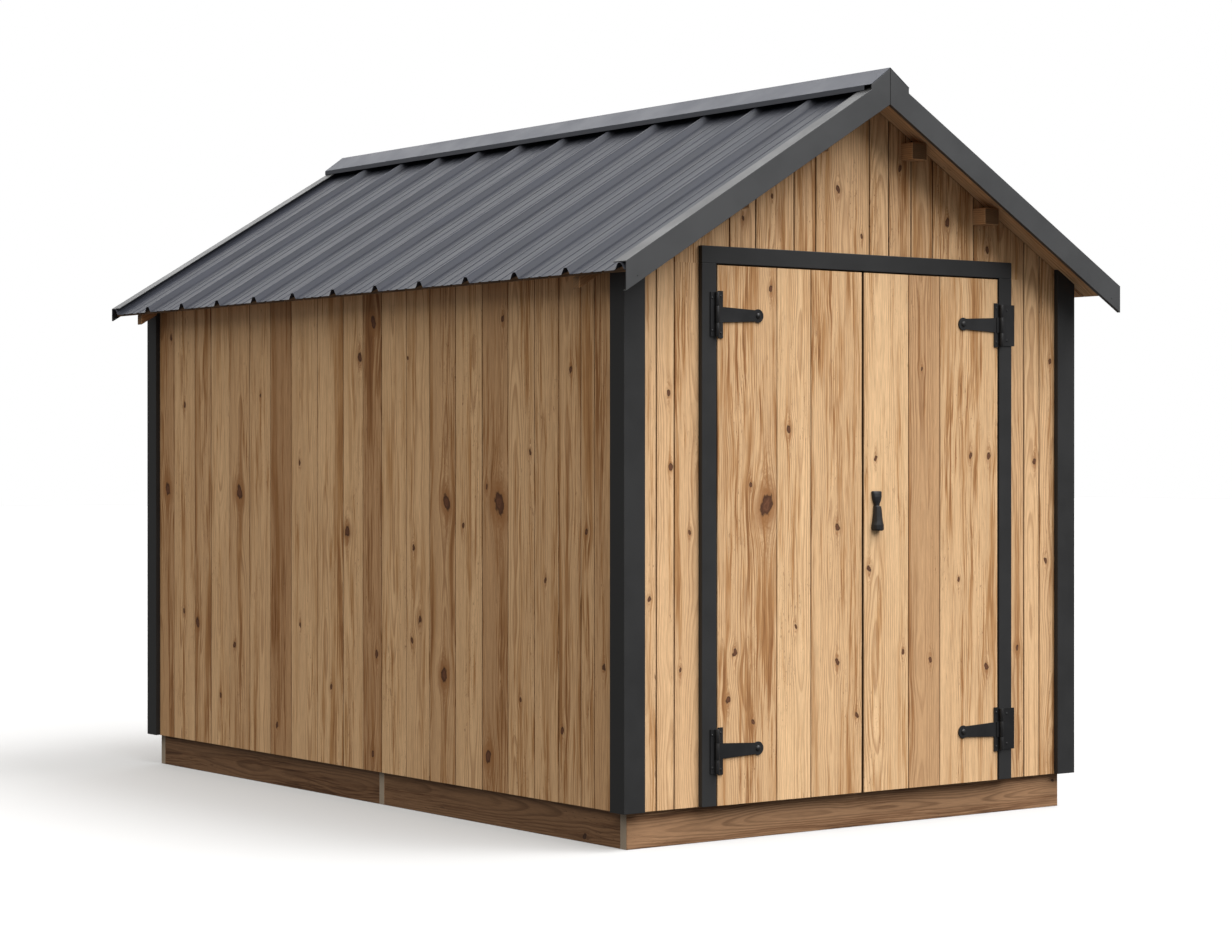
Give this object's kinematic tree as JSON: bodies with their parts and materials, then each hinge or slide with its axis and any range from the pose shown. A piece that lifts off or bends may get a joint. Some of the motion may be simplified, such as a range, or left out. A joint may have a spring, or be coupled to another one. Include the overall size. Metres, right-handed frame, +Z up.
{
  "type": "garden shed",
  "caption": "Timber garden shed with vertical boarding, a gable roof of ribbed metal sheet, dark trims and hinged double doors.",
  "frame": {"origin": "on the ground at the centre of the plan", "axes": "+X to the right seen from the door end, +Y from the door end into the depth, +Z up"},
  "size_m": [2.3166, 3.68, 2.6575],
  "materials": {
    "cladding_wood": "sawn softwood boards with brown grain and knots, clear oiled",
    "door_wood": "sawn softwood boards with brown grain and knots, clear oiled",
    "base_wood": "rough sawn treated softwood",
    "frame_wood": "planed softwood",
    "floor_wood": "planed softwood boards",
    "soffit_wood": "brown softwood roof boards",
    "black_trim": "satin near-black powder coat",
    "rake_metal": "satin dark grey powder coat",
    "roof_metal": "satin slate grey coated steel sheet",
    "cap_metal": "satin slate grey coated steel",
    "black_iron": "semi-gloss black ironwork"
  },
  "bodies": {
    "building": {"base_front_board": "base_wood", "base_rear_board": "base_wood", "base_left_boards": "base_wood", "base_right_boards": "base_wood", "base_middle_joist": "base_wood", "floor_deck": "floor_wood", "left_wall": "cladding_wood", "right_wall": "cladding_wood", "rear_wall": "cladding_wood", "front_wall_left": "cladding_wood", "front_wall_right": "cladding_wood", "front_gable": "cladding_wood", "left_wall_studs": "frame_wood", "right_wall_studs": "frame_wood", "rear_wall_studs": "frame_wood", "sole_plates": "frame_wood", "head_plates": "frame_wood", "door_posts": "frame_wood", "eave_beams": "soffit_wood", "purlins": "soffit_wood", "roof_deck_left": "soffit_wood", "roof_deck_right": "soffit_wood", "eave_brackets": "soffit_wood", "roof_sheet_left": "roof_metal", "roof_sheet_right": "roof_metal", "ridge_cap": "cap_metal", "rake_trim_front_left": "rake_metal", "rake_trim_front_right": "rake_metal", "rake_trim_rear_left": "rake_metal", "rake_trim_rear_right": "rake_metal", "front_corner_trims": "black_trim", "rear_corner_trims": "black_trim", "door_trim_left": "black_trim", "door_trim_right": "black_trim", "door_trim_head": "black_trim", "hinge_plates": "black_iron"},
    "left_door": {"left_door_boards": "door_wood", "left_door_ledges": "frame_wood", "left_door_braces": "frame_wood", "left_door_hinge_straps": "black_iron"},
    "right_door": {"right_door_boards": "door_wood", "right_door_ledges": "frame_wood", "right_door_braces": "frame_wood", "right_door_hinge_straps": "black_iron", "door_handle": "black_iron"}
  },
  "joints": [
    {"name": "left_door_hinge", "type": "hinge", "parent": "building", "child": "left_door", "pos_m": [-0.664, -1.709, 1.0475], "axis": [0, 0, -1], "range_deg": [0, 135]},
    {"name": "right_door_hinge", "type": "hinge", "parent": "building", "child": "right_door", "pos_m": [0.664, -1.709, 1.0475], "axis": [0, 0, 1], "range_deg": [0, 135]}
  ]
}
